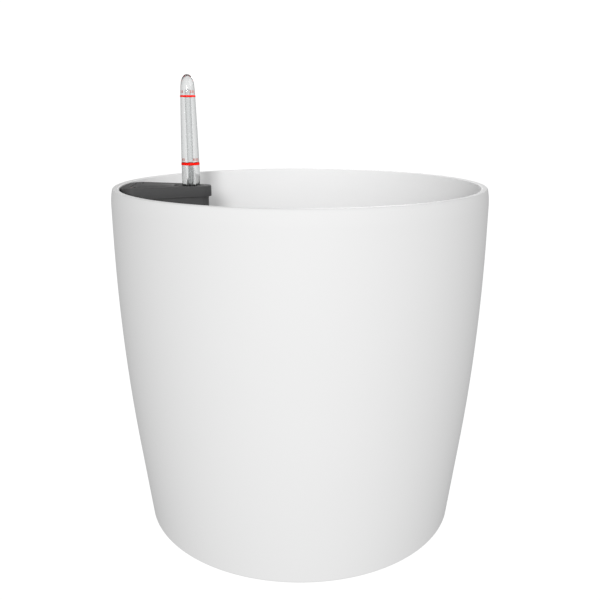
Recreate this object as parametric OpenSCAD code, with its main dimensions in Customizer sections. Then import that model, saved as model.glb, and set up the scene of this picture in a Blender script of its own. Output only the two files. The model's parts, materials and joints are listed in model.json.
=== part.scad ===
// Round self-watering planter: pot, separator with root cups, filling shaft
// with lid and filler flap, float level indicator and a screwed drain plug.
// Origin on the pot's axis at the resting plane, +Z up, filling shaft on -X.

/* [Pot] */
// Height of the pot, resting plane to rim
pot_h = 261.5; // [255:0.5:275]
// Largest radius of the pot, at the belly
belly_r = 140; // [138:0.5:150]
// Outward slope of the straight lower wall, radius per height
taper_slope = 0.112; // [0.09:0.002:0.13]
// Height where the straight taper turns into the belly curve
taper_top = 70; // [60:1:90]
// Height where the wall becomes upright
belly_z = 231; // [220:1:235]
// Radius of the curve that pulls the wall in under the rim
shoulder_r = 48; // [45:1:80]
// Wall thickness
wall = 4.4; // [3.5:0.1:4.8]
// Height of the floor's upper face
floor_z = 10; // [9:0.5:12]
// Clear height under the floor, inside the foot ring
recess_h = 6; // [4:0.5:6.5]
// Radius of the fillet between floor and wall
floor_fillet = 6; // [4:0.5:8]
// Stiffening ribs under the floor
rib_count = 12; // [6:1:18]

/* [Drain] */
// Radius of the drain bore
drain_r = 11; // [9:0.5:12]
// Running clearance of the plug's shank in the bore
thread_gap = 0.1; // [0.05:0.01:0.1]
// Thread pitch of the plug
thread_pitch = 3; // [2.5:0.5:4]
// Thickness of the sealing ring
seal_t = 1.4; // [1:0.1:2]

/* [Separator] */
// Height of the separator's underside
plate_z = 74; // [66:1:80]
// Thickness of the separator
plate_t = 2.5; // [2:0.1:3]
// Gap between the separator and the pot wall
plate_gap = 1.2; // [0.8:0.1:2]
// Number of legs
leg_count = 6; // [6:6:6]
// Radius of the circle that the legs stand on
leg_circle = 100; // [98:1:104]
// Radius of a leg
leg_r = 7; // [6:0.5:7.5]
// Number of root cups
cup_count = 5; // [5:1:5]
// Radius of the circle that the root cups hang on
cup_circle = 66; // [62:1:66]
// Radius of a root cup at its mouth
cup_r = 17; // [14:0.5:17]

/* [Filling shaft] */
// Half angle of the wedge between the shaft's side walls
wedge_half = 19.14; // [18:0.02:20]
// Distance from the pot's axis to the point where the side planes meet
wedge_start = 48; // [46:0.5:50]
// Radius of the lid's rounded nose
nose_r = 9.5; // [8.5:0.1:9.5]
// Radius of the lid's two corners at the pot wall
corner_r = 9.5; // [8:0.5:11]
// Gap between the lid and the pot wall
lid_gap = 0.6; // [0.5:0.1:1]
// Step from the lid's skirt in to the shaft
skirt_step = 2.1; // [2.1:0.1:2.4]
// Wall thickness of shaft
shaft_wall = 2; // [1.6:0.1:2]
// Depth of the lid below the pot's rim
lid_drop = 0.8; // [0.6:0.1:3]
// Height of the lid with its skirt
lid_h = 8; // [7:0.1:10]
// Thickness of the lid's top
lid_t = 2.2; // [2.2:0.1:2.4]

/* [Level indicator] */
// Distance from the pot's axis to the indicator's axis
gauge_x = 82.5; // [82.5:0.1:83]
// Radius of the clear tube where it leaves the lid
tube_r = 6.8; // [6.6:0.05:6.85]
// Height of the tube's tip
tube_top = 341; // [338:1:350]
// Radius of the tube's bore
bore_r = 2.25; // [2.2:0.05:2.5]
// Height of the middle of the upper mark
max_z = 325.5; // [320:0.1:326]
// Float travel, from the lower mark to the upper one
float_travel = 48.8; // [44:0.1:49]
// Outer radius of the float
float_r = 5.2; // [5:0.05:5.25]

/* [Hidden] */
$fn = 96;
eps = 0.1;

// Pot
taper_angle = atan(taper_slope);
belly_curve_r = (belly_z - taper_top) / sin(taper_angle);
taper_top_r = belly_r - belly_curve_r * (1 - cos(taper_angle));
shoulder_z = pot_h - 11.5;
foot_edge_r = 2;
foot_in_r = 112;
rim_edge_r = 0.7;
rim_w = wall;
rib_t = 1.8;
drain_boss_r = 15;
drain_boss_z = 2;
wall_steps = 12;
edge_steps = 4;

// Drain plug
plug_head_t = 3.6;
plug_grip = [25, 5, 8];
plug_shank_z = 3.5;
plug_core_r = 8;
thread_depth = 0.7;

// Separator
plate_top = plate_z + plate_t;
plate_rib_h = 6;
plate_rib_t = 2;
plate_rib_r = 88;
cup_wall = 1.8;
cup_foot_r = 12.5;
cup_foot_z = 12;
cup_flange_w = 2.5;
cup_flange_t = 1.5;
leg_peg_r = 4;
air_slot_w = 2.4;

// Filling shaft and lid
lid_top = pot_h - lid_drop;
lid_z = lid_top - lid_h;
lid_under = lid_top - lid_t;
skirt_t = 1.9;
shaft_in = skirt_step + shaft_wall;
shaft_gap = 1.5;
guide_x = -91;
guide_t = 1.6;

// Filler flap
flap_t = 1.1;
flap_front = -96;
hinge_x = -124.5;
hinge_z = lid_top - 2.5;
flap_back = hinge_x + 3;
barrel_r = 2.2;
barrel_half = 14;
pin_r = 1;
ear_t = 2.5;
flap_gap = 0.25;
flap_inset = 5.5;

// Level indicator
gauge_hole_r = 7.1;
tube_foot_z = 228;
cage_top = 236;
cage_r = 6.7;
cage_in_r = 5.6;
cage_z = 11.5;
bore_top = 331;
tip_start = 325;
tube_lean = 0.0105;
tube_curve = 0.00017;
mark_proud = 0.25;
mark_sunk = 0.35;
float_z = 14;
float_len = 38;
float_wall = 0.6;
rod_r = 1.5;
min_z = max_z - float_travel;

cup_angles = [for (i = [0 : cup_count - 1]) 60 * i - 120];
leg_angles = [for (i = [0 : leg_count - 1]) 60 * i + 30];

// ---- Shared functions ----

// Outer radius of the pot at height z
function outer_r(z) =
    z < taper_top ? taper_top_r - taper_slope * (taper_top - z)
    : z < belly_z ? belly_r - belly_curve_r * (1 - cos(asin((belly_z - z) / belly_curve_r)))
    : z < shoulder_z ? belly_r
    : belly_r - shoulder_r * (1 - cos(asin((z - shoulder_z) / shoulder_r)));

// Inner radius of the pot: never wider than the mouth, so that it leaves its mould
function inner_r(z) = min(outer_r(pot_h) - rim_w, outer_r(z) - wall);

// Inner radius with the floor fillet taken off, less a gap
function cavity_r(z, gap) =
    let (drop = min(floor_fillet, max(0, floor_z + floor_fillet - z)))
    inner_r(z) - gap - floor_fillet + sqrt(floor_fillet * floor_fillet - drop * drop);

// Points on an arc about c, from angle a to angle b
function arc(c, r, a, b, n) =
    [for (i = [0 : n]) c + r * [cos(a + (b - a) * i / n), sin(a + (b - a) * i / n)]];

// Outline of the wedge seen from above, drawn in by inset all round
function wedge(inset) =
    let (
        base_r = inner_r(pot_h) - lid_gap,
        nose_c = [-wedge_start - nose_r / sin(wedge_half), 0],
        off = wedge_start * sin(wedge_half) + corner_r,
        along = sqrt(pow(base_r - corner_r, 2) - off * off),
        cx = -off * sin(wedge_half) - along * cos(wedge_half),
        cy = along * sin(wedge_half) - off * cos(wedge_half),
        turn = 90 - wedge_half,
        far = atan2(cy, cx))
    concat(
        arc(nose_c, nose_r - inset, -turn, turn, 16),
        arc([cx, cy], corner_r - inset, turn, far, 8),
        arc([0, 0], base_r - inset, far, 360 - far, 16),
        arc([cx, -cy], corner_r - inset, 360 - far, 360 - turn, 8));

// Outer radius of the clear tube at height z
function tube_outer(z) =
    let (
        rise = max(0, z - lid_top),
        u = max(0, z - tip_start) / (tube_top - tip_start))
    (tube_r - tube_lean * rise - tube_curve * rise * rise) * sqrt(max(0, 1 - pow(u, 4)));

// ---- Shared shapes ----

// Ring of rectangular section
module ring(r_in, r_out, z, h) {
    translate([0, 0, z])
        difference() {
            cylinder(r = r_out, h = h);
            translate([0, 0, -eps]) cylinder(r = r_in, h = h + 2 * eps);
        }
}

// Wedge outline raised from z by h
module wedge_block(inset, z, h) {
    translate([0, 0, z]) linear_extrude(height = h) polygon(wedge(inset));
}

// Solid that fills the pot's inside from z0 to z1, less a gap all round
module cavity(gap, z0, z1) {
    steps = 24;
    bend = min(z1, floor_z + floor_fillet);
    low = [for (i = [0 : 3]) z0 + (bend - z0) * i / 4];
    high = z1 > bend ? [for (i = [0 : steps]) bend + (z1 - bend) * i / steps] : [z1];
    rotate_extrude()
        polygon(concat([[0, z0]], [for (z = concat(low, high)) [cavity_r(z, gap), z]], [[0, z1]]));
}

// Slot from radius r0 to r1 at an angle, cut right through z to z + h
module radial_slot(angle, r0, r1, w, z, h) {
    rotate([0, 0, angle]) translate([r0, -w / 2, z]) cube([r1 - r0, w, h]);
}

// Places its children at radius r and an angle about the pot's axis
module at(angle, r) {
    translate([r * cos(angle), r * sin(angle), 0]) children();
}

// ---- Pot and drain ----

module planter_shell() {
    foot_r = outer_r(0);
    mouth_r = inner_r(pot_h);
    rim_r = outer_r(pot_h);
    foot = arc([foot_r - foot_edge_r, foot_edge_r], foot_edge_r, -90, -taper_angle, edge_steps);
    belly = [for (i = [0 : wall_steps])
        let (z = taper_top + (belly_z - taper_top) * i / wall_steps) [outer_r(z), z]];
    shoulder = [for (i = [0 : edge_steps])
        let (z = shoulder_z + (pot_h - rim_edge_r - shoulder_z) * i / edge_steps) [outer_r(z), z]];
    lip_out = arc([rim_r - rim_edge_r, pot_h - rim_edge_r], rim_edge_r, 30, 90, edge_steps);
    lip_in = arc([mouth_r + rim_edge_r, pot_h - rim_edge_r], rim_edge_r, 90, 180, edge_steps);
    inner = [for (i = [0 : wall_steps])
        let (z = belly_z - (belly_z - taper_top) * i / wall_steps) [inner_r(z), z]];
    fillet_z = floor_z + floor_fillet;
    fillet = arc([inner_r(fillet_z) - floor_fillet, fillet_z], floor_fillet, 0, -90, 6);
    color("whitesmoke")
    difference() {
        union() {
            rotate_extrude($fn = 180)
                polygon(concat([[foot_in_r, 0]], foot, belly, shoulder, lip_out, lip_in, inner, fillet,
                    [[0, floor_z], [0, recess_h], [foot_in_r - foot_edge_r, recess_h]]));
            translate([0, 0, drain_boss_z]) cylinder(r = drain_boss_r, h = floor_z - drain_boss_z);
            for (i = [0 : rib_count - 1])
                radial_slot(i * 360 / rib_count, drain_boss_r - 1, foot_in_r + 1, rib_t,
                    drain_boss_z, recess_h - drain_boss_z + 1);
        }
        translate([0, 0, -eps]) cylinder(r = drain_r, h = floor_z + 2 * eps);
    }
}

module drain_seal() {
    color("dimgray") ring(drain_r, drain_boss_r - 0.5, floor_z, seal_t);
}

module drain_plug() {
    head_z = floor_z + seal_t;
    shank_r = drain_r - thread_gap;
    turns = 2;
    color("darkslategray")
    difference() {
        union() {
            translate([0, 0, head_z]) cylinder(r = drain_boss_r, h = plug_head_t);
            translate([0, 0, plug_shank_z]) cylinder(r = shank_r, h = head_z - plug_shank_z + eps);
            translate([-plug_grip.x / 2, -plug_grip.y / 2, head_z + plug_head_t - eps]) cube(plug_grip);
        }
        translate([0, 0, plug_shank_z - eps]) cylinder(r = plug_core_r, h = head_z - plug_shank_z);
        for (i = [0 : turns - 1])
            ring(shank_r - thread_depth, shank_r + 1, plug_shank_z + 1 + i * thread_pitch, thread_pitch / 2);
    }
}

// ---- Separator ----

module separator_plate() {
    plate_r = inner_r(plate_z) - plate_gap;
    rim_t = 2;
    rib_start = 24;
    hub_slot = [14, 22];
    middle_slot = [46, 82];
    outer_slot = [93, 117];
    cup_gap = 0.4;
    peg_gap = 0.05;
    through = 10;
    shaft_side = 40;
    color("gray")
    difference() {
        union() {
            translate([0, 0, plate_z]) cylinder(r = plate_r, h = plate_t);
            ring(plate_r - rim_t, plate_r, plate_z, plate_t + 2);
            ring(plate_rib_r - plate_rib_t / 2, plate_rib_r + plate_rib_t / 2,
                plate_z - plate_rib_h, plate_rib_h + eps);
            for (a = leg_angles)
                radial_slot(a, rib_start, plate_rib_r, plate_rib_t, plate_z - plate_rib_h, plate_rib_h + eps);
        }
        wedge_block(skirt_step - 0.5, plate_z - plate_rib_h - eps, plate_rib_h + plate_t + 2 * eps);
        wedge_block(skirt_step - 3.5, plate_top, through);
        for (a = cup_angles)
            at(a, cup_circle) translate([0, 0, plate_z - through])
                cylinder(r = cup_r + cup_gap, h = 2 * through);
        for (a = leg_angles)
            at(a, leg_circle) translate([0, 0, plate_z - eps]) cylinder(r = leg_peg_r + peg_gap, h = through);
        for (a = [0 : 30 : 330])
            radial_slot(a + 15, hub_slot[0], hub_slot[1], air_slot_w, plate_z - eps, through);
        for (a = leg_angles, side = [-5, 5])
            if (abs(a - 180) > shaft_side)
                radial_slot(a + side, middle_slot[0], middle_slot[1], air_slot_w, plate_z - eps, through);
        for (a = [-150 : 10 : 150])
            if (abs(a) % 60 != 30)
                radial_slot(a, outer_slot[0], outer_slot[1], air_slot_w, plate_z - eps, through);
    }
}

module separator_leg(i) {
    foot_t = 2;
    leg_wall = 1.8;
    foot_w = 2;
    color("gray")
    at(leg_angles[i - 1], leg_circle) {
        difference() {
            translate([0, 0, floor_z]) cylinder(r = leg_r, h = plate_z - floor_z);
            translate([0, 0, floor_z - eps]) cylinder(r = leg_r - leg_wall, h = plate_z - floor_z - 2);
        }
        ring(leg_r - 0.5, leg_r + foot_w, floor_z, foot_t);
        translate([0, 0, plate_z - eps]) cylinder(r = leg_peg_r, h = plate_t + 1);
    }
}

module root_cup(i) {
    depth = plate_top - cup_foot_z;
    slot_z = cup_foot_z + 6;
    slot_h = 44;
    slot_r = cup_foot_r - cup_wall - 1.5;
    floor_slot_r = 4;
    color("gray")
    at(cup_angles[i - 1], cup_circle)
    difference() {
        union() {
            translate([0, 0, cup_foot_z]) cylinder(r1 = cup_foot_r, r2 = cup_r, h = depth + cup_flange_t);
            translate([0, 0, plate_top]) cylinder(r = cup_r + cup_flange_w, h = cup_flange_t);
        }
        translate([0, 0, cup_foot_z + cup_wall])
            cylinder(r1 = cup_foot_r - cup_wall, r2 = cup_r - cup_wall, h = depth + cup_flange_t);
        for (a = [0 : 45 : 315])
            radial_slot(a, slot_r, cup_r + 2, air_slot_w, slot_z, slot_h);
        for (a = [0 : 45 : 315])
            radial_slot(a, floor_slot_r, slot_r, air_slot_w, cup_foot_z - eps, 5);
    }
}

// ---- Filling shaft, lid and flap ----

module supply_shaft() {
    collar_t = 2;
    notch_h = 16;
    notch_w = 8;
    notch_x = [-104, -88];
    nose_notch_x = -75;
    lug_z = plate_z - 2.4;
    lug_size = [10, 120, 2.3];
    lug_x = -112;
    across = 120;
    guide_y = 5.2;
    guide_w = 20;
    color("darkslategray") {
        difference() {
            intersection() {
                union() {
                    wedge_block(skirt_step, floor_z, lid_under - floor_z);
                    wedge_block(skirt_step - 3, plate_top, collar_t);
                    intersection() {
                        wedge_block(skirt_step - 1.5, lug_z, lug_size.z);
                        translate([lug_x, -lug_size.y / 2, lug_z]) cube(lug_size);
                    }
                }
                cavity(shaft_gap, floor_z, lid_under + 1);
            }
            intersection() {
                wedge_block(shaft_in, floor_z - 1, lid_under - floor_z + 2);
                cavity(shaft_gap + shaft_wall, floor_z - eps, lid_under + 2);
            }
            for (x = notch_x)
                translate([x - notch_w / 2, -across / 2, floor_z - 1]) cube([notch_w, across, notch_h + 1]);
            translate([nose_notch_x, -notch_w / 2, floor_z - 1]) cube([20, notch_w, notch_h + 1]);
        }
        intersection() {
            for (side = [-1, 1])
                translate([guide_x - guide_t / 2, side > 0 ? guide_y : -guide_y - guide_w,
                    floor_z + notch_h + 2])
                    cube([guide_t, guide_w, lid_under - floor_z - notch_h - 6]);
            wedge_block(shaft_in - 0.2, floor_z, lid_under - floor_z);
        }
    }
}

// Outline of the filler flap, drawn in by inset, from the front edge to x = back
module flap_outline(inset, front, back) {
    intersection() {
        polygon(wedge(flap_inset + inset));
        translate([back, -40]) square([front - back, 80]);
    }
}

// Round bar along the hinge's axis, used for the pin, its holes and the flap's barrel
module hinge_bore(r, half) {
    translate([hinge_x, half, hinge_z]) rotate([90, 0, 0]) cylinder(r = r, h = 2 * half);
}

module shaft_lid() {
    bed_t = flap_t + 0.05;
    dish_r = 4;
    slot_back = hinge_x - barrel_r - 0.9;
    ear_back = hinge_x - barrel_r - 0.2;
    ear_h = lid_under + 0.4 - hinge_z + barrel_r;
    color("darkslategray")
    difference() {
        union() {
            difference() {
                wedge_block(0, lid_z, lid_h);
                wedge_block(skirt_t, lid_z - 1, lid_under - lid_z + 1);
                translate([-gauge_x, 0, lid_z]) cylinder(r = gauge_hole_r, h = lid_h + 1);
                translate([0, 0, lid_top - bed_t]) linear_extrude(height = 5)
                    flap_outline(-flap_gap, flap_front + flap_gap, flap_back - 1.7);
                translate([0, 0, lid_under - 1]) linear_extrude(height = 10)
                    flap_outline(1.5, flap_front - 1.5, flap_back + 0.5);
                translate([slot_back, -barrel_half - flap_gap, lid_under - 1])
                    cube([flap_back + 1 - slot_back, 2 * (barrel_half + flap_gap), 10]);
                translate([flap_front, 0, lid_top - bed_t]) cylinder(r = dish_r, h = 5);
            }
            for (side = [-1, 1])
                translate([ear_back, side * (barrel_half + 0.5 + ear_t / 2) - ear_t / 2, hinge_z - barrel_r])
                    cube([2 * barrel_r + 0.2, ear_t, ear_h]);
        }
        hinge_bore(pin_r, barrel_half + 0.5 + ear_t);
    }
}

module flap_pin() {
    color("silver") hinge_bore(pin_r, barrel_half + 0.5 + ear_t);
}

module filler_flap() {
    flap_z = lid_top - flap_t;
    rib = [22, 1.2, 1.6];
    rib_y = 7;
    color("darkslategray")
    difference() {
        union() {
            translate([0, 0, flap_z]) linear_extrude(height = flap_t)
                flap_outline(0, flap_front, flap_back);
            translate([hinge_x, -barrel_half, flap_z])
                cube([flap_back + 1 - hinge_x, 2 * barrel_half, flap_t]);
            hinge_bore(barrel_r, barrel_half);
            for (side = [-1, 1])
                translate([flap_back - 1, side * rib_y - rib.y / 2, flap_z - rib.z])
                    cube([rib.x, rib.y, rib.z + eps]);
        }
        hinge_bore(pin_r + 0.06, barrel_half + 1);
    }
}

// ---- Level indicator and float ----

module sight_tube() {
    body_z = concat([cage_top, lid_top], [for (i = [1 : 8]) lid_top + (tip_start - lid_top) * i / 8]);
    dome_z = [for (i = [1 : 11]) tip_start + (tube_top - tip_start) * sin(90 * i / 12)];
    bore_end = arc([0, bore_top - bore_r], bore_r, 90, 0, 6);
    neck_r = cage_in_r - 0.05;
    color("lightgray", 0.4)
    translate([-gauge_x, 0, 0])
    difference() {
        rotate_extrude($fn = 64)
            polygon(concat([[bore_r, tube_foot_z], [neck_r, tube_foot_z], [neck_r, cage_top]],
                [for (z = concat(body_z, dome_z)) [tube_outer(z), z]], [[0, tube_top]],
                bore_end));
        for (z = [min_z, max_z])
            ring(tube_outer(z) - mark_sunk, tube_outer(z) + 1, z - mark_half(z), 2 * mark_half(z));
    }
}

// Half height of a mark: the upper one is a little narrower
function mark_half(z) = z < tip_start - 10 ? 0.85 : 0.65;

module level_mark(z) {
    color("red")
    translate([-gauge_x, 0, 0])
        ring(tube_outer(z) - mark_sunk, tube_outer(z) + mark_proud, z - mark_half(z), 2 * mark_half(z));
}

module max_ring() {
    level_mark(max_z);
}

module min_ring() {
    level_mark(min_z);
}

module float_cage() {
    slot_w = 2.6;
    slot_h = 52;
    color("gainsboro")
    translate([-gauge_x, 0, 0])
    difference() {
        ring(cage_in_r, cage_r, cage_z, cage_top - cage_z);
        for (a = [0 : 90 : 270])
            radial_slot(a + 45, 3, cage_r + 1, slot_w, cage_z + 4, slot_h);
    }
}

module cage_foot() {
    water_r = 2;
    color("gainsboro")
    translate([-gauge_x, 0, 0]) {
        ring(water_r, cage_r, floor_z + 0.2, cage_z - floor_z - 0.2);
        ring(water_r, cage_in_r, cage_z - eps, 2);
    }
}

module float_body() {
    color("white")
    translate([-gauge_x, 0, float_z])
    difference() {
        cylinder(r = float_r, h = float_len);
        translate([0, 0, float_wall]) cylinder(r = float_r - float_wall, h = float_len);
    }
}

module float_cap() {
    top = float_z + float_len;
    color("white")
    translate([-gauge_x, 0, 0])
    difference() {
        union() {
            translate([0, 0, top - 2]) cylinder(r = float_r - float_wall, h = 2 + eps);
            translate([0, 0, top]) cylinder(r = float_r, h = 1.2);
            translate([0, 0, top]) cylinder(r = 2.8, h = 4);
        }
        translate([0, 0, top + 0.6]) cylinder(r = rod_r, h = 10);
    }
}

module float_rod() {
    bottom = float_z + float_len + 0.6;
    color("white", 0.5)
    translate([-gauge_x, 0, bottom]) cylinder(r = rod_r, h = min_z - 1.2 - bottom);
}

module rod_tip() {
    tip_r = 1.95;
    color("red")
    translate([-gauge_x, 0, min_z - 1.2]) {
        cylinder(r = tip_r, h = 0.9);
        translate([0, 0, 0.9]) cylinder(r1 = tip_r, r2 = tip_r - 0.7, h = 0.5);
    }
}

planter_shell();
drain_seal();
drain_plug();
separator_plate();
for (i = [1 : leg_count])
    separator_leg(i);
for (i = [1 : cup_count])
    root_cup(i);
supply_shaft();
shaft_lid();
flap_pin();
filler_flap();
sight_tube();
max_ring();
min_ring();
float_cage();
cage_foot();
float_body();
float_cap();
float_rod();
rod_tip();
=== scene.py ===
import json
import math

import bmesh
import bpy
from bpy.props import FloatProperty, FloatVectorProperty, IntProperty, PointerProperty
from mathutils import Matrix, Vector


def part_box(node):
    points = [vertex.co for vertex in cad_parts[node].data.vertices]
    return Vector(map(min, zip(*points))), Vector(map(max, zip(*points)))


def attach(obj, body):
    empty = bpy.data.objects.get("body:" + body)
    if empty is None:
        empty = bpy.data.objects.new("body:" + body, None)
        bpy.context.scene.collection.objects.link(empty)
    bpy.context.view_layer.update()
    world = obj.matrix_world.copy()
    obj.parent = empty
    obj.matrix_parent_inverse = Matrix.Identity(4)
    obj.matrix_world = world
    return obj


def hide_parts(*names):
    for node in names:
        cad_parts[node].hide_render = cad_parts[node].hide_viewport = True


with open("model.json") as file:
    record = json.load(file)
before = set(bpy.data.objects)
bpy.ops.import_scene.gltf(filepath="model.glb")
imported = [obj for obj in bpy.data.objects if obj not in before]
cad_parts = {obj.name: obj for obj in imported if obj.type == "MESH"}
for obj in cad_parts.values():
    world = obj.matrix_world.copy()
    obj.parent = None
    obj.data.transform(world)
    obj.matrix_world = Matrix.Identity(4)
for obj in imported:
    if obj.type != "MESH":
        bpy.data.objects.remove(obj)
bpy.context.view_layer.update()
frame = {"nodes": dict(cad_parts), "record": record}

bl_info = {
    "name": "Self-watering planter",
    "version": (1, 0, 0),
    "blender": (4, 5, 0),
    "location": "View3D > Sidebar > Planter",
    "description": "Builds the visible pieces of a round self-watering planter on its frame",
    "category": "Object",
}

MM = 0.001
UP = Vector((0, 0, 1))
ORIGIN = Vector((0, 0, 0))

shell_low, shell_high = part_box("planter_shell")
seal_low, seal_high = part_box("drain_seal")
plug_low, plug_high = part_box("drain_plug")
plate_low, plate_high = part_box("separator_plate")
leg_low, leg_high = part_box("separator_leg_1")
cup_low, cup_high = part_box("root_cup_1")
shaft_low, shaft_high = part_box("supply_shaft")
lid_low, lid_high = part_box("shaft_lid")
flap_low, flap_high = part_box("filler_flap")
pin_low, pin_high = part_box("flap_pin")
tube_low, tube_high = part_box("sight_tube")
upper_low, upper_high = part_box("max_ring")
lower_low, lower_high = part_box("min_ring")
cage_low, cage_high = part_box("float_cage")
foot_low, foot_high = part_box("cage_foot")
float_low, float_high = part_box("float_body")
cap_low, cap_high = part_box("float_cap")
rod_low, rod_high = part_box("float_rod")
tip_low, tip_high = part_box("rod_tip")
gauge_axis = Vector(((tube_low.x + tube_high.x) / 2, 0, 0))
hinge_axis = (pin_low + pin_high) / 2
pin_radius = (pin_high.z - pin_low.z) / 2
pin_half = pin_high.y


# ---- Sizes and colours ----


def length(name, description, default):
    """A length in metres that shows in the sidebar."""
    return FloatProperty(
        name=name, description=description, default=default, min=0.0, unit="LENGTH", precision=5
    )


def angle(name, description, degrees):
    """An angle that shows in the sidebar in degrees."""
    return FloatProperty(
        name=name, description=description, default=math.radians(degrees),
        subtype="ANGLE", unit="ROTATION",
    )


def colour(name, description, default):
    """A colour that shows in the sidebar."""
    return FloatVectorProperty(
        name=name, description=description, default=default, size=3, min=0, max=1, subtype="COLOR"
    )


class PotSizes(bpy.types.PropertyGroup):
    """Sizes of the white pot."""

    height: length("Height", "Resting plane to rim", shell_high.z)
    belly_radius: length("Belly radius", "Largest radius of the pot", shell_high.y)
    taper_top: length("Taper top", "Height where the straight wall ends", 70 * MM)
    belly_height: length("Belly height", "Height where the wall is upright", 231 * MM)
    shoulder_height: length("Shoulder height", "Height of the shoulder, down from the rim", 11.5 * MM)
    shoulder_radius: length("Shoulder radius", "Radius of the curve under the rim", 48 * MM)
    wall: length("Wall", "Wall thickness", 4.4 * MM)
    floor_height: length("Floor height", "Height of the floor's upper face", 10 * MM)
    recess: length("Recess", "Clear height under the floor", 6 * MM)
    fillet: length("Floor fillet", "Radius between floor and wall", 6 * MM)
    foot_radius: length("Foot radius", "Inner radius of the foot ring", 112 * MM)
    rim_edge: length("Rim edge", "Radius of the rim's edges", 0.7 * MM)
    boss_radius: length("Boss radius", "Outer radius of the drain boss", plug_high.x)
    boss_low: length("Boss bottom", "Height of the drain boss's lower face", 2 * MM)
    drain_radius: length("Drain radius", "Radius of the drain bore", 11 * MM)
    rib_width: length("Rib width", "Thickness of a stiffening rib", 1.8 * MM)
    slope: FloatProperty(
        name="Slope", description="Outward slope of the lower wall", default=0.112, min=0, max=0.3
    )
    rib_count: IntProperty(
        name="Ribs", description="Stiffening ribs under the floor", default=12, min=3, max=24
    )


class DrainSizes(bpy.types.PropertyGroup):
    """Sizes of the drain plug."""

    head_thickness: length("Head", "Thickness of the plug's head", 3.6 * MM)
    hollow: length("Hollow", "Radius of the hollow in the shank", 8 * MM)
    root: length("Thread root", "Radius at the bottom of the thread", 10.2 * MM)
    crest: length("Thread crest", "Radius at the top of the thread", 10.85 * MM)
    pitch: length("Pitch", "Rise of the thread in one turn", 3 * MM)
    grip_width: length("Grip width", "Thickness of the grip bar", 5 * MM)
    flutes: IntProperty(name="Flutes", description="Finger flutes round the head", default=18, min=6)


class SeparatorSizes(bpy.types.PropertyGroup):
    """Sizes of the perforated plate, its legs and its root cups."""

    thickness: length("Plate", "Thickness of the plate", 2.5 * MM)
    rim: length("Rim", "Width of the plate's raised rim", 2 * MM)
    rib_depth: length("Rib depth", "Depth of the ribs under the plate", 6 * MM)
    rib_width: length("Rib width", "Thickness of a rib", 2 * MM)
    rib_radius: length("Rib radius", "Radius of the ring rib", 88 * MM)
    cup_circle: length("Cup circle", "Radius of the circle of root cups", 66 * MM)
    cup_hole: length("Cup hole", "Radius of a hole for a root cup", 17.4 * MM)
    leg_circle: length("Leg circle", "Radius of the circle of legs", 100 * MM)
    leg_radius: length("Leg radius", "Outer radius of a leg", 7 * MM)
    leg_wall: length("Leg wall", "Wall thickness of a leg", 1.8 * MM)
    peg: length("Peg", "Radius of the peg on a leg", 4 * MM)
    slot: length("Slot", "Width of the air and water slots", 2.4 * MM)
    cup_foot: length("Cup foot", "Radius of a root cup at its floor", 12.5 * MM)
    cup_mouth: length("Cup mouth", "Radius of a root cup at its mouth", 17 * MM)
    cup_wall: length("Cup wall", "Wall thickness of a root cup", 1.8 * MM)
    cup_flange: length("Cup flange", "Thickness of a root cup's flange", 1.5 * MM)


class ShaftSizes(bpy.types.PropertyGroup):
    """Sizes of the wedge-shaped filling shaft, its lid and the filler flap."""

    half_angle: angle("Half angle", "Half the angle between the side walls", 19.14)
    start: length("Start", "Pot axis to where the side planes meet", 48 * MM)
    nose: length("Nose radius", "Radius of the lid's nose", 9.5 * MM)
    corner: length("Corner radius", "Radius of the corners at the pot wall", 9.5 * MM)
    wall_gap: length("Wall gap", "Gap between the lid and the pot wall", 0.6 * MM)
    step: length("Step", "Lid's outline in to the shaft's", 2.1 * MM)
    wall: length("Shaft wall", "Wall thickness of the shaft", 2 * MM)
    pot_gap: length("Pot gap", "Gap between the shaft and the pot", 1.5 * MM)
    notch: length("Notch", "Height of the water notches at the shaft's foot", 16 * MM)
    collar: length("Collar", "Thickness of the collar on the separator", 2 * MM)
    lid_top_thickness: length("Lid top", "Thickness of the lid's top", 2.2 * MM)
    skirt_thickness: length("Skirt", "Thickness of the lid's skirt", 1.9 * MM)
    edge: length("Edge radius", "Radius of the lid's outer edges", 0.45 * MM)
    hole: length("Gauge hole", "Radius of the hole for the clear tube", 7.1 * MM)
    flap_inset: length("Flap inset", "Lid's outline to the flap's", 5.5 * MM)
    flap_thickness: length("Flap thickness", "Thickness of the flap's panel", 1.1 * MM)
    flap_gap: length("Flap gap", "Gap round the flap", 0.12 * MM)
    barrel: length("Barrel", "Radius of the flap's barrel", 2.4 * MM)
    barrel_half: length("Barrel half", "Half the length of the flap's barrel", 14 * MM)


class GaugeSizes(bpy.types.PropertyGroup):
    """Sizes of the level indicator and its float."""

    radius: length("Tube radius", "Radius of the tube at the lid", 6.8 * MM)
    bore: length("Bore radius", "Radius of the tube's bore", 2.25 * MM)
    bore_top: length("Bore top", "Height of the bore's round end", 331 * MM)
    neck: length("Neck radius", "Radius of the neck in the cage", 5.55 * MM)
    tip_start: length("Tip start", "Height where the tip begins to close", 325 * MM)
    proud: length("Mark proud", "How far a mark stands out", 0.25 * MM)
    sunk: length("Mark sunk", "How deep a mark sits", 0.35 * MM)
    cage_bore: length("Cage bore", "Inner radius of the float's guide tube", 5.6 * MM)
    cage_slot: length("Cage slot", "Width of the guide tube's slots", 2.6 * MM)
    float_wall: length("Float wall", "Wall thickness of the float", 0.6 * MM)
    print_gap: length("Print gap", "Mark to the printed dashes over it", 1.5 * MM)
    print_height: length("Print height", "Height of a printed dash", 1.9 * MM)


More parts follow.
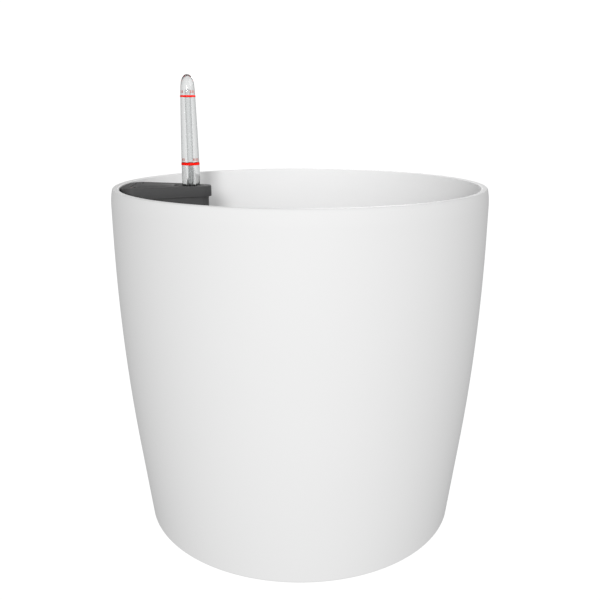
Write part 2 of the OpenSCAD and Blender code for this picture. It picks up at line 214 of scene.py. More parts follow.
class Finishes(bpy.types.PropertyGroup):
    """Colours of the plastics, the seal and the pin."""

    shell: colour("Pot", "White moulded plastic", (0.87, 0.87, 0.87))
    slate: colour("Shaft", "Dark grey plastic", (0.056, 0.056, 0.057))
    grey: colour("Separator", "Mid grey plastic", (0.115, 0.12, 0.125))
    pale: colour("Float", "Off-white plastic", (0.7, 0.71, 0.7))
    mark: colour("Marks", "Red of the marks", (1.0, 0.012, 0.004))
    # Painted light: the mark glow is an emission that makes the red marks glow, though they are no lamp.
    mark_glow: FloatProperty(
        name="Mark glow", description="Extra brightness of the signal red", default=0.06, min=0)
    faded: colour("Print", "Faded red of the printed dashes", (0.46, 0.2, 0.18))
    clear: colour("Tube", "Tint of the clear plastic", (0.8, 0.81, 0.81))
    # Painted shade: this edge colour greys the clear plastic where it is seen edge on, standing in for the
    # darker edges that refraction gives.
    clear_edge_painted_shade: colour("Clear edge", "Clear plastic seen edge on", (0.16, 0.17, 0.17))
    rubber: colour("Seal", "Black rubber", (0.02, 0.02, 0.02))
    steel: colour("Pin", "Drawn steel", (0.56, 0.56, 0.58))


class StageSizes(bpy.types.PropertyGroup):
    """Camera and light."""

    lens: FloatProperty(name="Lens", description="Focal length in mm", default=41.97, min=10, max=200)
    distance: length("Distance", "Camera to the pot's axis, level", 537.4 * MM)
    rise: length("Rise", "Camera above the rim", 55.83 * MM)
    bearing: angle("Bearing", "Where the camera stands round the pot", -91.5)
    pitch: angle("Pitch", "How far the camera looks down", 15.37)
    key_size: length("Front light size", "Diameter of the front and back lights", 0.45)
    key_power: FloatProperty(name="Front light", description="Power of the front light", default=47, min=0)
    fill_size: length("Top light size", "Diameter of the light above the pot", 0.12)
    fill_power: FloatProperty(name="Top light", description="Power of the top light", default=0.09, min=0)
    back_power: FloatProperty(name="Back light", description="Power of the back light", default=26, min=0)
    ambient: FloatProperty(name="Ambient", description="Brightness of the room", default=0.43, min=0)


# ---- Outlines ----


def outer_radius(pot, z):
    """Outer radius of the pot at height z."""
    lean = math.atan(pot.slope)
    curve = (pot.belly_height - pot.taper_top) / math.sin(lean)
    shoulder = pot.height - pot.shoulder_height
    if z < pot.taper_top:
        return pot.belly_radius - curve * (1 - math.cos(lean)) - pot.slope * (pot.taper_top - z)
    if z < pot.belly_height:
        return pot.belly_radius - curve + math.sqrt(curve**2 - (pot.belly_height - z) ** 2)
    if z < shoulder:
        return pot.belly_radius
    radius = pot.shoulder_radius
    return pot.belly_radius - radius + math.sqrt(radius**2 - (z - shoulder) ** 2)


def inner_radius(pot, z):
    """Inner radius of the pot at height z, never wider than the mouth."""
    return min(outer_radius(pot, pot.height), outer_radius(pot, z)) - pot.wall


def steps_between(start, end, count):
    """Evenly spaced values from start to end, both kept."""
    return [start + (end - start) * i / count for i in range(count + 1)]


def arc(centre, radius, start, end, count):
    """Points on an arc about centre, between two angles in degrees."""
    angles = [math.radians(a) for a in steps_between(start, end, count)]
    return [(centre[0] + radius * math.cos(a), centre[1] + radius * math.sin(a)) for a in angles]


def eased(points, size, closed=False, steps=4):
    """An outline with its corners rounded off; an open one keeps its two ends."""
    points = [Vector(p) for p in points]
    ring = [points[-1], *points, points[0]] if closed else points
    rounded = [] if closed else [points[0]]
    for before, corner, after in zip(ring, ring[1:], ring[2:]):
        back, ahead = before - corner, after - corner
        cut = min(size, back.length * 0.45, ahead.length * 0.45)
        start = corner + back.normalized() * cut
        end = corner + ahead.normalized() * cut
        for t in steps_between(0, 1, steps):
            rounded.append(start * (1 - t) ** 2 + corner * 2 * t * (1 - t) + end * t**2)
    if not closed:
        rounded.append(points[-1])
    return [tuple(p) for p in rounded]


def wedge(shaft, mouth, inset):
    """Outline of the shaft or its lid from above, drawn in by inset all round."""
    lean = shaft.half_angle
    reach = mouth - shaft.wall_gap
    nose = (-shaft.start - shaft.nose / math.sin(lean), 0)
    off = shaft.start * math.sin(lean) + shaft.corner
    along = math.sqrt((reach - shaft.corner) ** 2 - off**2)
    corner = (
        -off * math.sin(lean) - along * math.cos(lean),
        along * math.sin(lean) - off * math.cos(lean),
    )
    turn = 90 - math.degrees(lean)
    far = math.degrees(math.atan2(corner[1], corner[0]))
    points = arc(nose, shaft.nose - inset, -turn, turn, 28)
    points += arc(corner, shaft.corner - inset, turn, far, 16)
    points += arc((0, 0), reach - inset, far, 360 - far, 32)
    points += arc((corner[0], -corner[1]), shaft.corner - inset, 360 - far, 360 - turn, 16)
    return points


def flap_outline(shaft, mouth, inset, front, back):
    """The lid's wedge drawn in and cut off square in front and behind."""
    bm = bmesh.new()
    bm.faces.new([bm.verts.new((x, y, 0)) for x, y in wedge(shaft, mouth, shaft.flap_inset + inset)])
    for at, side in ((front, 1), (back, -1)):
        bmesh.ops.bisect_plane(
            bm, geom=bm.verts[:] + bm.edges[:] + bm.faces[:], plane_co=(at, 0, 0),
            plane_no=(side, 0, 0), clear_outer=True,
        )
    bm.faces.ensure_lookup_table()
    outline = [(v.co.x, v.co.y) for v in bm.faces[0].verts]
    bm.free()
    return outline


def tube_radius(gauge, z):
    """Outer radius of the clear tube at height z."""
    rise = max(0, z - lid_high.z) / MM
    closing = max(0, z - gauge.tip_start) / (tube_high.z - gauge.tip_start)
    lean = (0.0105 * rise + 0.00017 * rise**2) * MM
    return (gauge.radius - lean) * math.sqrt(max(0, 1 - closing**4))


# ---- Shapes ----


def lathe(profile, centre=ORIGIN, steps=96, closed=False):
    """Turns (radius, height) points about the upright axis through centre."""
    bm = bmesh.new()
    verts = [bm.verts.new((centre.x + r, centre.y, z)) for r, z in profile]
    edges = [bm.edges.new(pair) for pair in zip(verts, verts[1:])]
    if closed:
        edges.append(bm.edges.new((verts[-1], verts[0])))
    bmesh.ops.spin(
        bm, geom=verts + edges, cent=centre, axis=UP, angle=math.tau, steps=steps, use_merge=True
    )
    bmesh.ops.remove_doubles(bm, verts=bm.verts, dist=1e-7)
    loose = [e for e in bm.edges if not e.link_faces]
    bmesh.ops.delete(bm, geom=loose, context="EDGES")
    bmesh.ops.recalc_face_normals(bm, faces=bm.faces)
    return bm


def prism(outline, bottom, top):
    """Raises a flat outline from bottom to top."""
    bm = bmesh.new()
    base = bm.faces.new([bm.verts.new((x, y, bottom)) for x, y in outline])
    grown = bmesh.ops.extrude_face_region(bm, geom=[base])["geom"]
    lift = [g for g in grown if isinstance(g, bmesh.types.BMVert)]
    bmesh.ops.translate(bm, verts=lift, vec=(0, 0, top - bottom))
    bmesh.ops.recalc_face_normals(bm, faces=bm.faces)
    return bm


def add_block(bm, low, high, place=Matrix.Identity(4)):
    """Adds a box between two corners, then placed."""
    low, high = Vector(low), Vector(high)
    size = Matrix.Diagonal((*(high - low), 1))
    middle = Matrix.Translation((low + high) / 2)
    bmesh.ops.create_cube(bm, size=1, matrix=place @ middle @ size)


def block(low, high):
    """A box between two corners."""
    bm = bmesh.new()
    add_block(bm, low, high)
    return bm


def spokes(angles, near, far, width, low, high, centre=ORIGIN):
    """Boxes that run outwards from a centre, one at each angle in degrees."""
    bm = bmesh.new()
    for degrees in angles:
        place = Matrix.Translation(centre) @ Matrix.Rotation(math.radians(degrees), 4, "Z")
        add_block(bm, (near, -width / 2, low), (far, width / 2, high), place)
    return bm


def add_bar(bm, radius, start, end, segments=48):
    """Adds a round bar between two points."""
    start, end = Vector(start), Vector(end)
    turn = (end - start).to_track_quat("Z", "Y").to_matrix().to_4x4()
    bmesh.ops.create_cone(
        bm, cap_ends=True, segments=segments, radius1=radius, radius2=radius,
        depth=(end - start).length, matrix=Matrix.Translation((start + end) / 2) @ turn,
    )


def bar(radius, start, end, segments=48):
    """A round bar between two points."""
    bm = bmesh.new()
    add_bar(bm, radius, start, end, segments)
    return bm


def hinge_bar(radius, half, segments=48):
    """A round bar along the flap's hinge."""
    reach = Vector((0, half, 0))
    return bar(radius, hinge_axis - reach, hinge_axis + reach, segments)


def round_edges(bm, width, segments=3, least=35, where=None):
    """Rounds the edges that turn by more than least degrees, where asked."""
    limit = math.radians(least)
    edges = [e for e in bm.edges if len(e.link_faces) == 2 and e.calc_face_angle(0) > limit]
    if where:
        edges = [e for e in edges if all(where(v.co) for v in e.verts)]
    bmesh.ops.bevel(
        bm, geom=edges, offset=width, offset_type="OFFSET", segments=segments, profile=0.5,
        affect="EDGES", clamp_overlap=True, material=-1,
    )
    return bm


def combine(shape, tool, operation="DIFFERENCE"):
    """Cuts a closed shape with another, or joins them; both are used up."""
    parts = []
    for bm in (shape, tool):
        bmesh.ops.recalc_face_normals(bm, faces=bm.faces)
        mesh = bpy.data.meshes.new("part")
        bm.to_mesh(mesh)
        bm.free()
        part = bpy.data.objects.new("part", mesh)
        bpy.context.scene.collection.objects.link(part)
        parts.append(part)
    modifier = parts[0].modifiers.new("combine", "BOOLEAN")
    modifier.operation = operation
    modifier.object = parts[1]
    modifier.solver = "EXACT"
    result = bmesh.new()
    result.from_object(parts[0], bpy.context.evaluated_depsgraph_get())
    for part in parts:
        mesh = part.data
        bpy.data.objects.remove(part)
        bpy.data.meshes.remove(mesh)
    if not result.faces:
        raise RuntimeError("combining two shapes left nothing")
    bmesh.ops.remove_doubles(result, verts=result.verts, dist=1e-7)
    return result


def cavity(pot, gap, bottom, top):
    """The pot's inside between two heights, less a gap all round."""
    fillet_top = pot.floor_height + pot.fillet
    profile = [(0, bottom)]
    for z in steps_between(bottom, fillet_top, 6) + steps_between(fillet_top, top, 40)[1:]:
        drop = min(pot.fillet, max(0, fillet_top - z))
        inset = pot.fillet - math.sqrt(pot.fillet**2 - drop**2)
        profile.append((inner_radius(pot, z) - gap - inset, z))
    profile.append((0, top))
    return lathe(profile, steps=180)


def thread(root, crest, pitch, low, turns, steps=64):
    """A screw thread's ridge, closed at both ends."""
    bm = bmesh.new()
    buried = 0.3 * MM
    sides = [(root - buried, -0.28), (crest, -0.13), (crest, 0.13), (root - buried, 0.28)]
    section = bm.faces.new([bm.verts.new((r, 0, low + share * pitch)) for r, share in sides])
    edges = section.edges[:]
    verts = section.verts[:]
    rise = pitch / steps
    ending = bmesh.ops.spin(
        bm, geom=verts + edges, cent=ORIGIN, axis=UP, dvec=UP * rise,
        angle=math.tau * turns, steps=steps * turns,
    )["geom_last"]
    bm.faces.new([g for g in ending if isinstance(g, bmesh.types.BMVert)])
    bmesh.ops.recalc_face_normals(bm, faces=bm.faces)
    return bm


# ---- Pieces ----


def make_piece(name, bm, body, slot, node=None, soft=0, shade=32, finish=None):
    """Turns a bmesh into a piece of the planter, riding on a body of the frame."""
    bmesh.ops.recalc_face_normals(bm, faces=bm.faces)
    mesh = bpy.data.meshes.new(name)
    bm.to_mesh(mesh)
    bm.free()
    mesh.polygons.foreach_set("use_smooth", [True] * len(mesh.polygons))
    mesh.set_sharp_from_angle(angle=math.radians(shade))
    mesh.materials.append(finish or finish_for(slot))
    piece = bpy.data.objects.new(name, mesh)
    bpy.context.scene.collection.objects.link(piece)
    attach(piece, body)
    if node:
        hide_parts(node)
    if soft:
        soften(piece, soft)
    return piece


def soften(piece, width):
    """Puts a small round on a piece's sharp edges."""
    modifier = piece.modifiers.new("soften", "BEVEL")
    modifier.width = width
    modifier.segments = 2
    modifier.limit_method = "ANGLE"
    modifier.angle_limit = math.radians(40)
    modifier.use_clamp_overlap = False
    modifier.harden_normals = True


# ---- Finishes ----


def group_socket(group, name, kind, direction, default=None):
    """Adds a socket to a node group."""
    socket = group.interface.new_socket(name=name, in_out=direction, socket_type=kind)
    if default is not None:
        socket.default_value = default


def moulded_surface():
    """Node group: grain, mottle, edge wear and faint handling marks of moulded plastic."""
    name = "moulded surface"
    if name in bpy.data.node_groups:
        return bpy.data.node_groups[name]
    group = bpy.data.node_groups.new(name, "ShaderNodeTree")
    group_socket(group, "Colour", "NodeSocketColor", "INPUT", (0.8, 0.8, 0.8, 1))
    for label, value in (
        ("Mottle", 0.02), ("Roughness", 0.45), ("Polish change", 0.08), ("Edge wear", 0.1),
        ("Grain size", 0.0006), ("Grain depth", 0.00001), ("Handling", 0.2),
    ):
        group_socket(group, label, "NodeSocketFloat", "INPUT", value)
    group_socket(group, "Colour", "NodeSocketColor", "OUTPUT")
    group_socket(group, "Roughness", "NodeSocketFloat", "OUTPUT")
    group_socket(group, "Normal", "NodeSocketVector", "OUTPUT")
    nodes, links = group.nodes, group.links
    entry = nodes.new("NodeGroupInput")
    result = nodes.new("NodeGroupOutput")
    place = nodes.new("ShaderNodeTexCoord")

    def noise(scale, detail):
        node = nodes.new("ShaderNodeTexNoise")
        node.inputs["Scale"].default_value = scale
        node.inputs["Detail"].default_value = detail
        links.new(place.outputs["Object"], node.inputs["Vector"])
        return node

    def maths(operation, first, second, third=None):
        node = nodes.new("ShaderNodeMath")
        node.operation = operation
        for socket, value in zip(node.inputs, (first, second, third)):
            if isinstance(value, (int, float)):
                socket.default_value = value
            elif value is not None:
                links.new(value, socket)
        return node.outputs[0]

    def band(value, low, high):
        node = nodes.new("ShaderNodeMapRange")
        node.inputs["From Min"].default_value = low
        node.inputs["From Max"].default_value = high
        links.new(value, node.inputs["Value"])
        return node.outputs[0]

    broad = noise(14, 3)
    spread = maths("MULTIPLY_ADD", broad.outputs["Fac"], 2, -1)
    form = nodes.new("ShaderNodeNewGeometry")
    rubbed = maths("MULTIPLY", band(form.outputs["Pointiness"], 0.52, 0.6), band(
        noise(180, 4).outputs["Fac"], 0.35, 0.65))
    worn = maths("MULTIPLY", rubbed, entry.outputs["Edge wear"])
    shade = maths("ADD", maths("MULTIPLY_ADD", spread, entry.outputs["Mottle"], 1), worn)
    tint = nodes.new("ShaderNodeVectorMath")
    tint.operation = "SCALE"
    links.new(entry.outputs["Colour"], tint.inputs[0])
    links.new(shade, tint.inputs["Scale"])
    links.new(tint.outputs[0], result.inputs["Colour"])

    fine = noise(1, 2)
    links.new(maths("DIVIDE", 1, entry.outputs["Grain size"]), fine.inputs["Scale"])
    scuff = noise(60, 6)
    scuff.inputs["Distortion"].default_value = 1.4
    wear = maths("MULTIPLY", band(scuff.outputs["Fac"], 0.58, 0.74), entry.outputs["Handling"])
    polish = maths("MULTIPLY_ADD", spread, entry.outputs["Polish change"], entry.outputs["Roughness"])
    links.new(maths("MULTIPLY_ADD", wear, 0.35, polish), result.inputs["Roughness"])

    bump = nodes.new("ShaderNodeBump")
    links.new(entry.outputs["Grain depth"], bump.inputs["Distance"])
    links.new(maths("MULTIPLY_ADD", wear, -0.5, fine.outputs["Fac"]), bump.inputs["Height"])
    links.new(bump.outputs["Normal"], result.inputs["Normal"])
    return group


def new_material(name):
    """An empty node material; returns the material and its shader."""
    material = bpy.data.materials.new(name)
    material.use_nodes = True
    return material, material.node_tree.nodes["Principled BSDF"]


def place_surface(tree, shader, values):
    """Puts the moulded surface in a material and links what it changes."""
    surface = tree.nodes.new("ShaderNodeGroup")
    surface.node_tree = moulded_surface()
    for label, value in values.items():
        surface.inputs[label.replace("_", " ")].default_value = value
    tree.links.new(surface.outputs["Roughness"], shader.inputs["Roughness"])
    tree.links.new(surface.outputs["Normal"], shader.inputs["Normal"])
    return surface


def moulded_plastic(name, rgb, specular=0.4, **values):
    """Moulded plastic of one colour, with its own grain and polish."""
    material, shader = new_material(name)
    surface = place_surface(material.node_tree, shader, {"Colour": (*rgb, 1), **values})
    material.node_tree.links.new(surface.outputs["Colour"], shader.inputs["Base Color"])
    shader.inputs["Specular IOR Level"].default_value = specular
    return material


def white_shell(name, look):
    """Satin white plastic with a fine even grain."""
    return moulded_plastic(
        name, look.shell, specular=0.16, Mottle=0.006, Roughness=0.62, Polish_change=0.05,
        Edge_wear=0.0, Grain_size=0.0007, Grain_depth=0.000006, Handling=0.12,
    )


def dark_plastic(name, look):
    """Slate plastic, paler when seen along its surface."""
    return moulded_plastic(
        name, look.slate, specular=0.36, Mottle=0.06, Roughness=0.6, Polish_change=0.05,
        Edge_wear=0.25, Grain_size=0.0005, Grain_depth=0.000012, Handling=0.2,
    )


def grey_plastic(name, look):
    """Matt grey plastic of the separator, its legs and cups."""
    return moulded_plastic(
        name, look.grey, specular=0.4, Mottle=0.07, Roughness=0.52, Polish_change=0.1,
        Edge_wear=0.3, Grain_size=0.0005, Grain_depth=0.00002, Handling=0.3,
    )


def light_plastic(name, look):
    """Off-white plastic of the float and its guide."""
    return moulded_plastic(
        name, look.pale, specular=0.4, Mottle=0.03, Roughness=0.38, Polish_change=0.08,
        Edge_wear=0.04, Grain_size=0.0006, Grain_depth=0.00001, Handling=0.2,
    )


def red_mark(name, look):
    """Bright signal red of the marks and the rod's tip, with a faint painted glow."""
    material = moulded_plastic(
        name, look.mark, specular=0.05, Mottle=0.04, Roughness=0.45, Polish_change=0.08,
        Edge_wear=0.0, Grain_size=0.0004, Grain_depth=0.000006, Handling=0.2,
    )
    shader = material.node_tree.nodes["Principled BSDF"]
    # Painted light: a faint emission in the mark's own red makes it glow though it is no lamp.
    shader.inputs["Emission Color"].default_value = (*look.mark, 1)
    shader.inputs["Emission Strength"].default_value = look.mark_glow
    return material


def faded_print(name, look):
    """Thin faded red ink, speckled where it has rubbed."""
    return moulded_plastic(
        name, look.faded, specular=0.3, Mottle=0.3, Roughness=0.5, Polish_change=0.15,
        Edge_wear=0.3, Grain_size=0.0003, Grain_depth=0.000015, Handling=0.8,
    )


def black_rubber(name, look):
    """Matt black rubber with a dusty bloom."""
    return moulded_plastic(
        name, look.rubber, specular=0.3, Mottle=0.25, Roughness=0.72, Polish_change=0.12,
        Edge_wear=0.6, Grain_size=0.0004, Grain_depth=0.00003, Handling=0.5,
    )


def clear_plastic(name, look):
    """Clear polished plastic, with painted shade that greys it where it is seen edge on."""
    material, shader = new_material(name)
    tree = material.node_tree
    facing = tree.nodes.new("ShaderNodeLayerWeight")
    facing.inputs["Blend"].default_value = 0.5
    # Painted shade: the base colour runs from the clear tint to a dark grey as the surface turns edge on.
    tint = tree.nodes.new("ShaderNodeValToRGB")
    start, end = tint.color_ramp.elements
    start.color = (*look.clear, 1)
    end.color = (*look.clear_edge_painted_shade, 1)
    tree.links.new(facing.outputs["Facing"], tint.inputs["Fac"])
    tree.links.new(tint.outputs["Color"], shader.inputs["Base Color"])
    shader.inputs["Metallic"].default_value = 0
    shader.inputs["Transmission Weight"].default_value = 1
    shader.inputs["IOR"].default_value = 1.49
    place_surface(tree, shader, {
        "Roughness": 0.02, "Polish change": 0.01, "Grain size": 0.004,
        "Grain depth": 0.0, "Handling": 0.0,
    })
    return material


def steel(name, look):
    """Drawn steel wire, streaked along its length."""
    material, shader = new_material(name)
    tree = material.node_tree
    place = tree.nodes.new("ShaderNodeTexCoord")
    stretch = tree.nodes.new("ShaderNodeMapping")
    stretch.inputs["Scale"].default_value = (4000, 60, 4000)
    streaks = tree.nodes.new("ShaderNodeTexNoise")
    streaks.inputs["Scale"].default_value = 1
    polish = tree.nodes.new("ShaderNodeMapRange")
    polish.inputs["To Min"].default_value = 0.22
    polish.inputs["To Max"].default_value = 0.45
    scratches = tree.nodes.new("ShaderNodeBump")
    scratches.inputs["Distance"].default_value = 0.000004
    tree.links.new(place.outputs["Object"], stretch.inputs["Vector"])
    tree.links.new(stretch.outputs["Vector"], streaks.inputs["Vector"])
    tree.links.new(streaks.outputs["Fac"], polish.inputs["Value"])
    tree.links.new(streaks.outputs["Fac"], scratches.inputs["Height"])
    tree.links.new(polish.outputs[0], shader.inputs["Roughness"])
    tree.links.new(scratches.outputs["Normal"], shader.inputs["Normal"])
    shader.inputs["Base Color"].default_value = (*look.steel, 1)
    shader.inputs["Metallic"].default_value = 1
    return material


FINISHES = {
    maker.__name__: maker
    for maker in (
        white_shell, dark_plastic, grey_plastic, light_plastic, red_mark, faded_print,
        black_rubber, clear_plastic, steel,
    )
}


def finish_for(name):
    """The finish of that name, made once and titled in plain words."""
    title = name.replace("_", " ")
    if title in bpy.data.materials:
        return bpy.data.materials[title]
    return FINISHES[name](title, bpy.context.scene.planter_finishes)


# ---- Operators ----


class PLANTER_OT_pot(bpy.types.Operator):
    """Turn the white pot, with its foot ring, drain boss and ribs"""

    bl_idname = "planter.pot"
    bl_label = "Pot"

    def execute(self, context):
        pot = context.scene.planter_pot
        bm = lathe(self.section(pot), steps=256, closed=True)
        turns = [360 * i / pot.rib_count for i in range(pot.rib_count)]
        ribs = spokes(
            turns, pot.boss_radius - 1 * MM, pot.foot_radius + 1 * MM, pot.rib_width,
            pot.boss_low + 0.3 * MM, pot.recess + 1 * MM,
        )
        bm = combine(bm, round_edges(ribs, 0.3 * MM, segments=2), "UNION")
        make_piece("pot", bm, "root", "white_shell", "planter_shell")
        return {"FINISHED"}

    def section(self, pot):
        """The pot's wall and floor, cut through on one side."""
        edge = pot.rim_edge
        rim = outer_radius(pot, pot.height)
        mouth = inner_radius(pot, pot.height)
        foot = outer_radius(pot, 0)
        foot_edge, root = 2 * MM, 2 * MM
        lean = math.degrees(math.atan(pot.slope))
        fillet_top = pot.floor_height + pot.fillet
        drain = pot.drain_radius
        points = eased([
            (drain, pot.floor_height - 2 * MM), (drain, pot.boss_low),
            (pot.boss_radius, pot.boss_low), (pot.boss_radius, pot.recess),
            (pot.foot_radius - root, pot.recess), (pot.foot_radius, pot.recess - root),
            (pot.foot_radius, 0), (foot - foot_edge, 0),
        ], 0.8 * MM)[:-1]
        points += arc((foot - foot_edge, foot_edge), foot_edge, -90, -lean, 8)
        heights = steps_between(pot.taper_top, pot.belly_height, 28)
        heights += steps_between(pot.height - pot.shoulder_height, pot.height - edge, 8)
        points += [(outer_radius(pot, z), z) for z in heights]
        points += arc((rim - edge, pot.height - edge), edge, 20, 90, 5)
        points += arc((mouth + edge, pot.height - edge), edge, 90, 180, 6)
        heights = steps_between(pot.belly_height, pot.taper_top, 28) + [fillet_top]
        points += [(inner_radius(pot, z), z) for z in heights]
        fillet = (inner_radius(pot, fillet_top) - pot.fillet, fillet_top)
        points += arc(fillet, pot.fillet, -8, -90, 8)
        bevel = 0.5 * MM
        return points + [(drain + bevel, pot.floor_height), (drain, pot.floor_height - bevel)]


class PLANTER_OT_drain(bpy.types.Operator):
    """Turn the screwed drain plug, with its thread and grip, and its rubber seal"""

    bl_idname = "planter.drain"
    bl_label = "Drain plug and seal"

    def execute(self, context):
        pot, drain = context.scene.planter_pot, context.scene.planter_drain
        head = seal_high.z
        top = head + drain.head_thickness
        ring = [
            (pot.drain_radius, seal_low.z), (seal_high.x, seal_low.z),
            (seal_high.x, head), (pot.drain_radius, head),
        ]
        seal = lathe(eased(ring, 0.5 * MM, closed=True), closed=True)
        make_piece("drain_ring", seal, "drain_ring", "black_rubber", "drain_seal")

        section = [
            (0, head - 0.1 * MM), (drain.hollow, head - 0.1 * MM), (drain.hollow, plug_low.z),
            (drain.root, plug_low.z), (drain.root, head), (plug_high.x, head),
            (plug_high.x, top), (0, top),
        ]
        plug = lathe(eased(section, 0.6 * MM), steps=128)
        flutes = bmesh.new()
        for i in range(drain.flutes):
            spot = Matrix.Rotation(math.tau * i / drain.flutes, 3, "Z") @ Vector((plug_high.x, 0, 0))
            away = spot * 1.045
            add_bar(flutes, 1.3 * MM, away + UP * (head + 0.9 * MM), away + UP * (top + 1 * MM), 24)
        plug = combine(plug, flutes)
        half = drain.grip_width / 2
        long_half = plug_high.x - 2.5 * MM
        grip = block((-long_half, -half, top - 0.5 * MM), (long_half, half, plug_high.z))
        plug = combine(plug, round_edges(grip, 1.4 * MM, segments=5), "UNION")
        start = plug_low.z + 1.1 * MM
        ridge = thread(drain.root, drain.crest, drain.pitch, start, turns=2)
        plug = combine(plug, ridge, "UNION")
        make_piece("drain_screw", plug, "drain_screw", "dark_plastic", "drain_plug", soft=0.1 * MM)
        return {"FINISHED"}


class PLANTER_OT_separator(bpy.types.Operator):
    """Model the perforated plate between soil and water, with its rim and ribs"""

    bl_idname = "planter.separator"
    bl_label = "Separator"

    def execute(self, context):
        pot, shaft = context.scene.planter_pot, context.scene.planter_shaft
        sizes = context.scene.planter_separator
        under = plate_low.z + sizes.rib_depth
        top = under + sizes.thickness
        edge, half = plate_high.x, sizes.rib_width / 2
        section = [
            (0, under), (sizes.rib_radius - half, under), (sizes.rib_radius - half, plate_low.z),
            (sizes.rib_radius + half, plate_low.z), (sizes.rib_radius + half, under),
            (edge, under), (edge, plate_high.z), (edge - sizes.rim, plate_high.z),
            (edge - sizes.rim, top), (0, top),
        ]
        bm = lathe(eased(section, 0.4 * MM), steps=192)
        legs = [60 * i + 30 for i in range(6)]
        ribs = spokes(legs, 24 * MM, sizes.rib_radius, 1.9 * MM, plate_low.z + 0.2 * MM, under + 1 * MM)
        bm = combine(bm, ribs, "UNION")
        mouth = inner_radius(pot, pot.height)
        past = 10 * MM
        bm = combine(bm, prism(wedge(shaft, mouth, shaft.step - 0.5 * MM), plate_low.z - past, top + past))
        bm = combine(bm, prism(wedge(shaft, mouth, shaft.step - 3.5 * MM), top, top + past))
        holes = bmesh.new()
        for i in range(5):
            self.add_hole(holes, sizes.cup_circle, 60 * i - 120, sizes.cup_hole, past, 96)
        for degrees in legs:
            self.add_hole(holes, sizes.leg_circle, degrees, sizes.peg + 0.05 * MM, past, 48)
        bm = combine(bm, holes)
        bm = combine(bm, self.slots(sizes, legs, under - 2 * MM, top + past))
        make_piece("separator", bm, "insert", "grey_plastic", "separator_plate", soft=0.15 * MM)
        return {"FINISHED"}

    def add_hole(self, bm, circle, degrees, radius, past, segments):
        """Adds the cutter of a round hole on a circle."""
        turn = math.radians(degrees)
        spot = Vector((circle * math.cos(turn), circle * math.sin(turn), 0))
        low, high = UP * (plate_low.z - past), UP * (plate_high.z + past)
        add_bar(bm, radius, spot + low, spot + high, segments)

    def slots(self, sizes, legs, low, high):
        """Cutters of three rings of slots with rounded ends, none under the filling shaft."""
        shaft_side = 40
        hub = [30 * i + 15 for i in range(12)]
        middle = [a + side for a in legs if abs(a - 180) > shaft_side for side in (-5, 5)]
        outer = [a for a in range(-150, 151, 10) if abs(a) % 60 != 30]
        bm = spokes(hub, 14 * MM, 22 * MM, sizes.slot, low, high)
        for angles, near, far in ((middle, 46, 82), (outer, 93, 117)):
            more = spokes(angles, near * MM, far * MM, sizes.slot, low, high)
            mesh = bpy.data.meshes.new("slots")
            more.to_mesh(mesh)
            more.free()
            bm.from_mesh(mesh)
            bpy.data.meshes.remove(mesh)
        return round_edges(bm, 1.1 * MM, segments=4, where=None)


class PLANTER_OT_legs(bpy.types.Operator):
    """Turn the six hollow legs under the separator"""

    bl_idname = "planter.legs"
    bl_label = "Legs"

    def execute(self, context):
        sizes = context.scene.planter_separator
        low, under = leg_low.z, plate_low.z + sizes.rib_depth
        roof = under - 2 * MM
        foot = (leg_high.x - leg_low.x) / 2
        bore = sizes.leg_radius - sizes.leg_wall
        section = [
            (0, roof), (bore, roof), (bore, low), (foot, low), (foot, low + 2 * MM),
            (sizes.leg_radius + 0.8 * MM, low + 2 * MM), (sizes.leg_radius, low + 3.5 * MM),
            (sizes.leg_radius, under), (sizes.peg, under), (sizes.peg, leg_high.z - 0.8 * MM),
            (sizes.peg - 0.8 * MM, leg_high.z), (0, leg_high.z),
        ]
        for i in range(1, 7):
            node = f"separator_leg_{i}"
            near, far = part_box(node)
            middle = (near + far) / 2
            bm = lathe(eased(section, 0.5 * MM), Vector((middle.x, middle.y, 0)), steps=64)
            make_piece(f"leg_{i}", bm, "insert", "grey_plastic", node)
        return {"FINISHED"}


class PLANTER_OT_cups(bpy.types.Operator):
    """Model the five slotted root cups that reach down into the water"""

    bl_idname = "planter.cups"
    bl_label = "Root cups"

    def execute(self, context):
        sizes = context.scene.planter_separator
        low, high = cup_low.z, cup_high.z
        wall = sizes.cup_wall
        flange = high - sizes.cup_flange
        flare = sizes.cup_mouth - sizes.cup_foot
        under_flange = sizes.cup_mouth - flare * sizes.cup_flange / (high - low)
        section = [
            (0, low + wall), (sizes.cup_foot - wall, low + wall), (sizes.cup_mouth - wall, high),
            ((cup_high.x - cup_low.x) / 2, high), ((cup_high.x - cup_low.x) / 2, flange),
            (under_flange, flange), (sizes.cup_foot, low), (0, low),
        ]
        inner = sizes.cup_foot - wall - 1.5 * MM
        turns = [45 * i for i in range(8)]
        for i in range(1, 6):
            node = f"root_cup_{i}"
            near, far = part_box(node)
            middle = (near + far) / 2
            centre = Vector((middle.x, middle.y, 0))
            bm = lathe(eased(section, 0.6 * MM), centre, steps=96)
            side = spokes(turns, inner, sizes.cup_mouth + 2 * MM, sizes.slot,
                          low + 6 * MM, low + 50 * MM, centre)
            bm = combine(bm, round_edges(side, 1 * MM, segments=4))
            floor = spokes(turns, 4 * MM, inner, sizes.slot, low - 2 * MM, low + 4 * MM, centre)
            bm = combine(bm, round_edges(floor, 1 * MM, segments=4))
            make_piece(f"cup_{i}", bm, "insert", "grey_plastic", node, soft=0.12 * MM)
        return {"FINISHED"}


